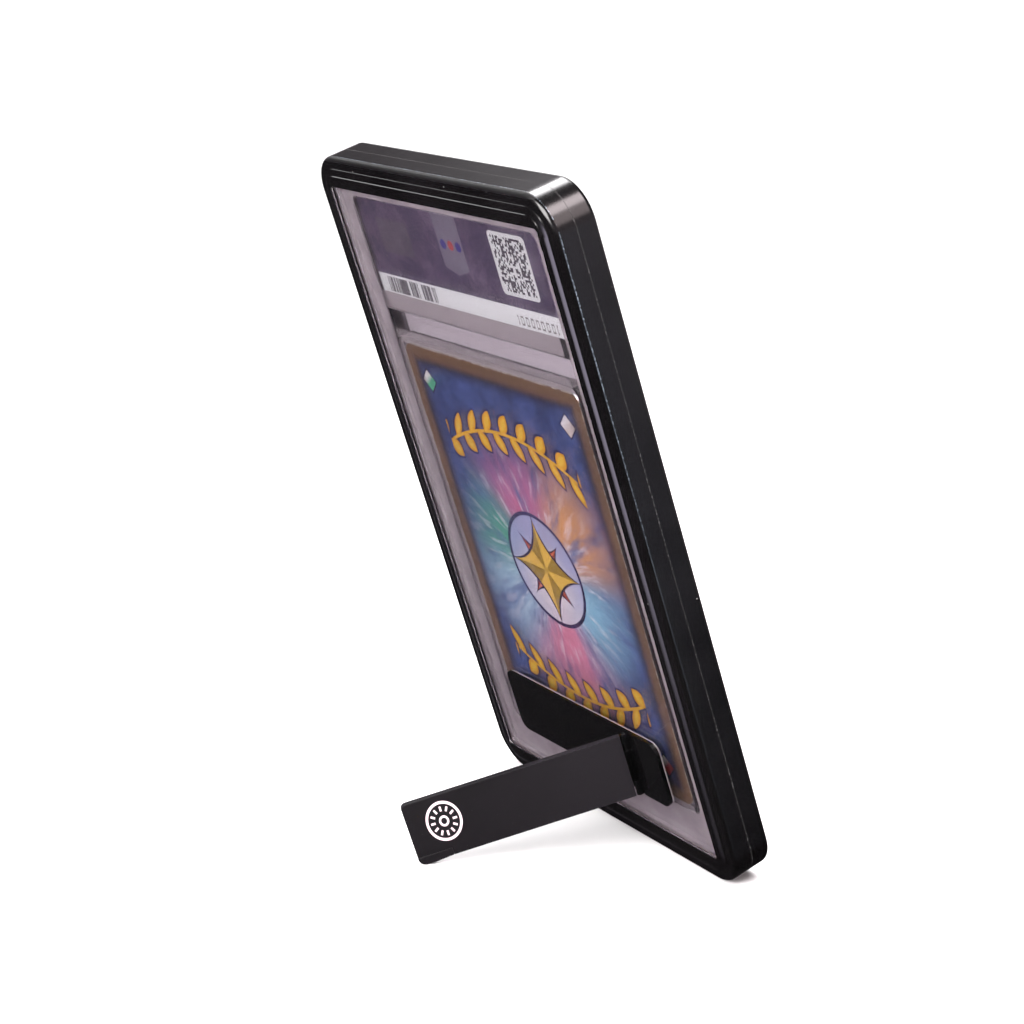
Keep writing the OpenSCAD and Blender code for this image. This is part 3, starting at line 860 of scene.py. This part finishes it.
def frame_half(settings, case_w, case_h, edge_z):
    """One frame half lying flat on its seam: rounded block, stepped rim, window opening and pockets."""
    radius, wall, soft = settings.corner_radius, settings.wall, settings.soft_edge
    seam, seam_soft = settings.seam / 2, 0.05
    floor_z = seam + seam_soft
    bpy.ops.mesh.primitive_cube_add(
        size=1.0, location=(0, 0, (floor_z + edge_z) / 2 * MM),
        scale=(case_w * MM, case_h * MM, (edge_z - floor_z) * MM),
    )
    piece = bpy.context.active_object
    bpy.ops.object.transform_apply()
    pick_edges(piece, lambda a, b: abs(a.x - b.x) + abs(a.y - b.y) < 1e-6)
    bpy.ops.mesh.bevel(offset=radius * MM, segments=28, affect="EDGES")

    # Rim: outer round, shoulder, small step, slope, terrace, small step and crown
    top = edge_z + settings.edge_round
    crown = top + settings.ring_rise
    last_angle = 60
    bend = settings.edge_round / math.sin(math.radians(last_angle))
    outer_round = [(v, edge_z + h) for h, v in arc(bend, 0, last_angle, 7)]
    foot, step = settings.shoulder_width, settings.step
    brow = foot + settings.bevel_width
    step_run, slope_run, crown_run, crown_rise = 0.08, 0.95, 0.7, 0.02
    terrace = crown - crown_rise - step
    slope = [
        (foot, top), (foot + step_run, top + step), (foot + slope_run, terrace), (brow, terrace),
        (brow + step_run, terrace + step), (brow + crown_run, crown),
    ]
    pick_face(piece, 1)
    place = follow((0, edge_z), outer_round[1:] + slope, 1)

    # Opening: its edge, a small round and the wall down to the window's seat
    corner = radius - settings.opening_radius - soft
    follow(place, [(corner, crown)], 1)
    spread_face(piece, corner - settings.rim_side + soft, corner - settings.rim_end + soft)
    pick_face(piece, 1)
    place = follow((0, crown), [(h, crown - v) for h, v in arc(soft, 0, 84, 5)][1:], 1)
    seat = crown - settings.ring_thickness
    bpy.ops.mesh.extrude_region_move(TRANSFORM_OT_translate={"value": (0, 0, (seat - place[1]) * MM)})
    bpy.ops.mesh.delete(type="FACE")

    # Underside: soft seam edge, flat wall and the cavity for the slab
    pick_face(piece, -1)
    seam_round = [(v, floor_z - h) for h, v in arc(seam_soft, 0, 90, 4)]
    follow((0, floor_z), seam_round[1:] + [(wall, seam), (wall, seat)], -1)
    bpy.ops.mesh.delete(type="FACE")
    pick_edges(piece, lambda a, b: max(abs(a.z - seat * MM), abs(b.z - seat * MM)) < 1e-7)
    bpy.ops.mesh.bridge_edge_loops()
    bpy.ops.mesh.select_all(action="SELECT")
    bpy.ops.mesh.remove_doubles(threshold=1e-7)
    bpy.ops.mesh.normals_make_consistent()
    bpy.ops.object.mode_set(mode="OBJECT")

    # Pockets for the magnets and holes for the locating pins
    pocket = Vector((1.18, 8.08, 3.22)) * MM
    pin_hole = {"vertices": 24, "radius": 0.55 * MM, "depth": 3.4 * MM}
    cutters = []
    for turn in range(4):
        half, span = ((case_w, settings.magnet_span_long), (case_h, settings.magnet_span_short))[turn % 2]
        turned = (0, 0, math.radians(90 * turn))
        for side in (-1, 0, 1):
            spot = Vector((half / 2 - wall / 2, side * span / 2, 0)) * MM
            spot.rotate(Euler(turned))
            if side:
                bpy.ops.mesh.primitive_cube_add(size=1.0, location=spot, rotation=turned, scale=pocket)
            else:
                bpy.ops.mesh.primitive_cylinder_add(location=spot, **pin_hole)
            bpy.ops.object.transform_apply()
            cutters.append(bpy.context.active_object)
    carve(piece, cutters)
    return piece


def settle(piece, axes, node, body, material):
    """Shades a flat-lying piece, puts it in its place and lets it stand for its CAD node."""
    take(piece)
    piece.matrix_world = axes
    bpy.ops.object.transform_apply()
    if axes.determinant() < 0:
        bpy.ops.object.mode_set(mode="EDIT")
        bpy.ops.mesh.select_all(action="SELECT")
        bpy.ops.mesh.normals_make_consistent()
        bpy.ops.object.mode_set(mode="OBJECT")
    bpy.ops.object.shade_smooth_by_angle(angle=math.radians(28))
    weighted = piece.modifiers.new("flat_faces_lead", "WEIGHTED_NORMAL")
    weighted.keep_sharp = True
    bpy.ops.object.modifier_apply(modifier=weighted.name)
    piece.data.materials.append(material)
    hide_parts(node)
    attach(piece, body)


class FinishFrames(bpy.types.Operator):
    """Models both frame halves with stepped rims and rounded edges, in satin black"""

    bl_idname = "card_case.frames"
    bl_label = "Frame halves"

    def execute(self, context):
        settings = context.scene.card_frame
        material = anodised_black(context.scene.card_case, settings)
        low, high = own_box("back_frame")
        edge_z = high.z - settings.ring_rise - settings.edge_round
        back = frame_half(settings, high.x - low.x, high.y - low.y, edge_z)
        back.name = "back_frame_half"
        take(back)
        bpy.ops.object.duplicate()
        front = context.active_object
        front.name = "front_frame_half"
        settle(back, case_axes(), "back_frame", "back_half", material)
        flipped = case_axes() @ Matrix.Diagonal((1, 1, -1, 1))
        settle(front, flipped, "front_frame", "front_half", material)
        return {"FINISHED"}


class FinishWindows(bpy.types.Operator):
    """Makes both windows clear, with their tapes and gaskets"""

    bl_idname = "card_case.windows"
    bl_label = "Windows"

    def execute(self, context):
        settings = context.scene.card_case
        clear = window_acrylic(settings)
        tape = plain_plastic("pale_tape", settings.tape_colour, 0.4)
        foam = plain_plastic("black_foam", (0.01, 0.01, 0.011), 0.8, grain_size=0.15, depth=0.05)
        for side in ("back", "front"):
            dress(side + "_window", clear)
            soften_edges(side + "_window", 0.12)
            dress(side + "_window_tape", tape)
            dress(side + "_gasket", foam)
        return {"FINISHED"}


class FinishSlab(bpy.types.Operator):
    """Makes both slab shells clear, with matt inside walls and a frosted margin"""

    bl_idname = "card_case.slab"
    bl_label = "Slab shells"

    def execute(self, context):
        clear = slab_plastic(context.scene.card_case)
        for node in ("slab_rear_shell", "slab_front_shell"):
            dress(node, clear)
        return {"FINISHED"}


class FinishCard(bpy.types.Operator):
    """Prints the card"""

    bl_idname = "card_case.card"
    bl_label = "Card"

    def execute(self, context):
        dress("trading_card", card_print())
        return {"FINISHED"}


class FinishLabel(bpy.types.Operator):
    """Prints the slab's label"""

    bl_idname = "card_case.label"
    bl_label = "Label"

    def execute(self, context):
        dress("slab_label", label_print(context.scene.card_case))
        return {"FINISHED"}


def leg_foot(material):
    """The foot at the leg's tip: a block whose lower side tapers into the leg's edge."""
    low, high = own_box("leg_foot", leg_axes())
    leg_low = own_box("stand_leg", leg_axes())[0]
    tip_length, tip_round, edge_round = 3.2, 1.6, 0.12
    above_ground, out_to_leg = 0.11, 0.11
    low.y += above_ground
    middle, size = (low + high) / 2, high - low
    size.z += out_to_leg
    bpy.ops.mesh.primitive_cube_add(size=1.0, location=middle * MM, scale=size * MM)
    piece = bpy.context.active_object
    piece.name = "leg_foot_block"
    bpy.ops.object.transform_apply()

    # The taper runs from under the tip to the foot's inner end
    start = Vector((low.x + tip_length, low.y, 0))
    run = Vector((high.x, leg_low.y + 0.02, 0)) - start
    below = Vector((run.y, -run.x, 0)).normalized()
    bpy.ops.object.mode_set(mode="EDIT")
    bpy.ops.mesh.select_all(action="SELECT")
    bpy.ops.mesh.bisect(plane_co=start * MM, plane_no=below, use_fill=True, clear_outer=True)

    def at_tip(a, b):
        return max(a.x, b.x) < (low.x + 0.01) * MM and max(a.y, b.y) < (low.y + 0.01) * MM

    pick_edges(piece, at_tip)
    bpy.ops.mesh.bevel(offset=tip_round * MM, segments=8, affect="EDGES")
    bpy.ops.mesh.select_all(action="SELECT")
    bpy.ops.mesh.normals_make_consistent()
    bpy.ops.object.mode_set(mode="OBJECT")
    edges = piece.modifiers.new("soft_edges", "BEVEL")
    edges.width = edge_round * MM
    edges.segments = 3
    edges.limit_method = "ANGLE"
    edges.angle_limit = math.radians(50)
    bpy.ops.object.modifier_apply(modifier=edges.name)
    settle(piece, leg_axes(), "leg_foot", "leg", material)


class FinishStand(bpy.types.Operator):
    """Finishes the stand's plate, pad, leg and pin, and models its foot"""

    bl_idname = "card_case.stand"
    bl_label = "Stand"

    def execute(self, context):
        settings = context.scene.card_case
        dress("stand_plate", plain_plastic("plate_gloss", settings.plate_colour, 0.06, depth=0.0005))
        soften_edges("stand_plate", 0.12, 3)
        dress("stand_adhesive", plain_plastic("pad_clear", (0.26, 0.22, 0.235), 0.3))
        coating = leg_coating(settings)
        dress("stand_leg", coating)
        leg_foot(coating)
        soften_edges("stand_leg", 0.15, 3)
        dress("hinge_pin", plain_metal("black_steel", (0.05, 0.048, 0.05), 0.35))
        return {"FINISHED"}


class FinishFittings(bpy.types.Operator):
    """Finishes the magnets and the locating pins inside the frame"""

    bl_idname = "card_case.fittings"
    bl_label = "Magnets and pins"

    def execute(self, context):
        nickel = plain_metal("bright_nickel", (0.7, 0.68, 0.64), 0.2)
        dress("back_magnets", nickel)
        dress("front_magnets", nickel)
        dress("locating_pins", plain_metal("pin_steel", (0.55, 0.55, 0.56), 0.3))
        return {"FINISHED"}


def direction(azimuth, elevation):
    """The unit vector that way, in degrees: azimuth 0 lies along -Y and 90 along +X."""
    turn, rise = math.radians(azimuth), math.radians(elevation)
    return Vector((math.sin(turn) * math.cos(rise), -math.cos(turn) * math.cos(rise), math.sin(rise)))


def soft_box(name, azimuth, elevation, distance, size, power, shade, aim):
    """A rectangular light that faces its aim, from that many degrees round and up and metres away."""
    away = direction(azimuth, elevation)
    bpy.ops.object.light_add(type="AREA", location=aim + away * distance)
    lamp = bpy.context.active_object
    lamp.name = name
    lamp.rotation_euler = away.to_track_quat("Z", "Y").to_euler()
    lamp.data.shape = "RECTANGLE"
    lamp.data.size, lamp.data.size_y = size
    lamp.data.energy = power
    lamp.data.color = shade
    lamp.visible_camera = False
    return lamp


def studio_world():
    """A soft room that the case reflects, with a band round the horizon; the camera sees plain white."""
    world = bpy.data.worlds.new("studio")
    tree = Tree(world)
    spot = tree.add("TexCoord", output="Generated")
    height = tree.add("SeparateXYZ", {0: spot}, output="Z")
    pink = (1.0, 0.87, 0.96)
    stops = [
        (0.5 + 0.5 * math.sin(math.radians(elevation)), scaled(pink, level))
        for elevation, level in (
            (-40, 0.02), (-22, 0.015), (-16, 0.05), (-8, 0.38), (-4, 0.5),
            (6, 0.48), (14, 0.2), (22, 0.07), (60, 0.05),
        )
    ]
    light = tree.add("ValToRGB", {"Fac": height * 0.5 + 0.5}, stops=stops)

    # Areas: azimuth and elevation of the middle, then where the fade begins and ends, in degrees
    for azimuth, elevation, inner, outer, shade in (
        (114, -22, 18, 46, (0.03, 0.026, 0.03)),
        (60, -22, 12, 24, (0.5, 0.45, 0.5)),
        (57, -6, 7, 17, (1.0, 0.88, 0.98)),
        (62, 32, 3, 12, (0.8, 0.76, 0.8)),
        (147, -34, 6, 12, (4.2, 3.8, 4.9)),
        (97, 29, 4, 9, (4.6, 4.6, 4.7)),
        (288.8, -13.2, 4.6, 9, (5.4, 6.3, 7.7)),
    ):
        near, far = math.cos(math.radians(inner)), math.cos(math.radians(outer))
        pair = {0: spot, 1: direction(azimuth, elevation)}
        facing = tree.add("VectorMath", pair, output="Value", operation="DOT_PRODUCT")
        light = tree.mix(light, shade, facing.above((near + far) / 2, near - far))
    seen = tree.add("LightPath", output="Is Camera Ray")
    shader = tree.add("Background", {"Color": tree.mix(light, (1.0, 1.0, 1.0), seen)})
    tree.add("OutputWorld", {"Surface": shader})
    return world


class SetStage(bpy.types.Operator):
    """Adds the pale floor, the soft lights and the camera"""

    bl_idname = "card_case.stage"
    bl_label = "Stage"

    def execute(self, context):
        settings = context.scene.card_stage
        target = Vector(settings.target)
        bpy.ops.mesh.primitive_plane_add(size=30.0)
        floor = context.active_object
        floor.name = "floor"
        finish = Finish("pale_floor")
        finish.surface(base_color=settings.floor_colour, roughness=0.9)
        floor.data.materials.append(finish.material)
        floor.visible_glossy = False
        floor.visible_transmission = False

        # Three lights aim near the case's upper corner
        low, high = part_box("back_frame")
        corner = Vector((low[0], high[1], high[2])) * 0.9
        soft_box("key", 196, 24, 0.9, (0.7, 0.7), 22.0, (1.0, 0.97, 0.97), target)
        soft_box("corner_band", 68, 56, 0.7, (0.32, 0.32), 5.2, (1.0, 0.98, 0.99), corner)
        soft_box("corner_glow", 293, 56, 0.7, (0.3, 0.28), 3.4, (1.0, 0.88, 0.9), corner)
        soft_box("corner_fade", 292, 30, 0.7, (0.3, 0.3), 1.0, (1.0, 0.85, 0.86), corner)
        fill = soft_box("window_fill", 182, -18, 0.5, (0.6, 0.6), 7.0, (1.0, 0.92, 0.94), target)
        fill.visible_diffuse = False
        fill.visible_glossy = False

        bpy.ops.object.light_add(type="SUN", location=(0, 0, 2))
        overhead = context.active_object
        overhead.name = "overhead"
        overhead.data.energy = 4.4
        overhead.data.angle = math.radians(70)
        overhead.visible_glossy = False

        context.scene.world = studio_world()
        context.scene.view_settings.view_transform = "Standard"

        away = direction(math.degrees(settings.azimuth), math.degrees(settings.elevation))
        bpy.ops.object.camera_add(location=target + away * settings.distance)
        camera = context.active_object
        camera.rotation_euler = away.to_track_quat("Z", "Y").to_euler()
        camera.data.lens = settings.lens
        camera.data.sensor_width = 36.0
        camera.data.clip_start = 0.01
        context.scene.camera = camera
        return {"FINISHED"}


class CardCasePanel(bpy.types.Panel):
    """Lists the case's operators"""

    bl_idname = "CARDCASE_PT_panel"
    bl_label = "Card Case"
    bl_space_type = "VIEW_3D"
    bl_region_type = "UI"
    bl_category = "Card Case"

    def draw(self, context):
        for operator in OPERATORS:
            self.layout.operator(operator.bl_idname)


OPERATORS = (
    FinishFrames, FinishWindows, FinishSlab, FinishCard, FinishLabel, FinishStand, FinishFittings, SetStage,
)
CLASSES = (CaseSettings, FrameSettings, StageSettings, *OPERATORS, CardCasePanel)


def register():
    for item in CLASSES:
        bpy.utils.register_class(item)
    bpy.types.Scene.card_case = PointerProperty(type=CaseSettings)
    bpy.types.Scene.card_frame = PointerProperty(type=FrameSettings)
    bpy.types.Scene.card_stage = PointerProperty(type=StageSettings)


def unregister():
    del bpy.types.Scene.card_stage
    del bpy.types.Scene.card_frame
    del bpy.types.Scene.card_case
    for item in reversed(CLASSES):
        bpy.utils.unregister_class(item)


def main():
    register()
    for operator in OPERATORS:
        group, name = operator.bl_idname.split(".")
        getattr(getattr(bpy.ops, group), name)()


if __name__ == "__main__":
    main()
